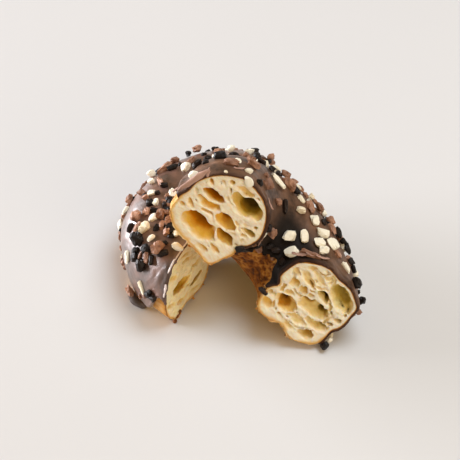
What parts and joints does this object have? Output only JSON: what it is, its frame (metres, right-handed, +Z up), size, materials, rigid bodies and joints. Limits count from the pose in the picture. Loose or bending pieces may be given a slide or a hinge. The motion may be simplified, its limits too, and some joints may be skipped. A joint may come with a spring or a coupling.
{
  "type": "croissant doughnut",
  "caption": "Croissant doughnut cut in half, one half leaning on the other, with chocolate coating and bits of nut and chocolate.",
  "frame": {"origin": "centre of the footprint, on the surface that the doughnut lies on", "axes": "+Z up, -Y towards the side that the leaning half's cut faces look to"},
  "size_m": [0.093, 0.0856, 0.074],
  "materials": {
    "flat_dough": "matt",
    "flat_chocolate": "satin",
    "leaning_dough": "matt",
    "leaning_chocolate": "satin"
  },
  "bodies": {
    "root": {"flat_half_dough": "flat_dough", "flat_half_coating": "flat_chocolate", "leaning_half_dough": "leaning_dough", "leaning_half_coating": "leaning_chocolate"}
  },
  "joints": []
}
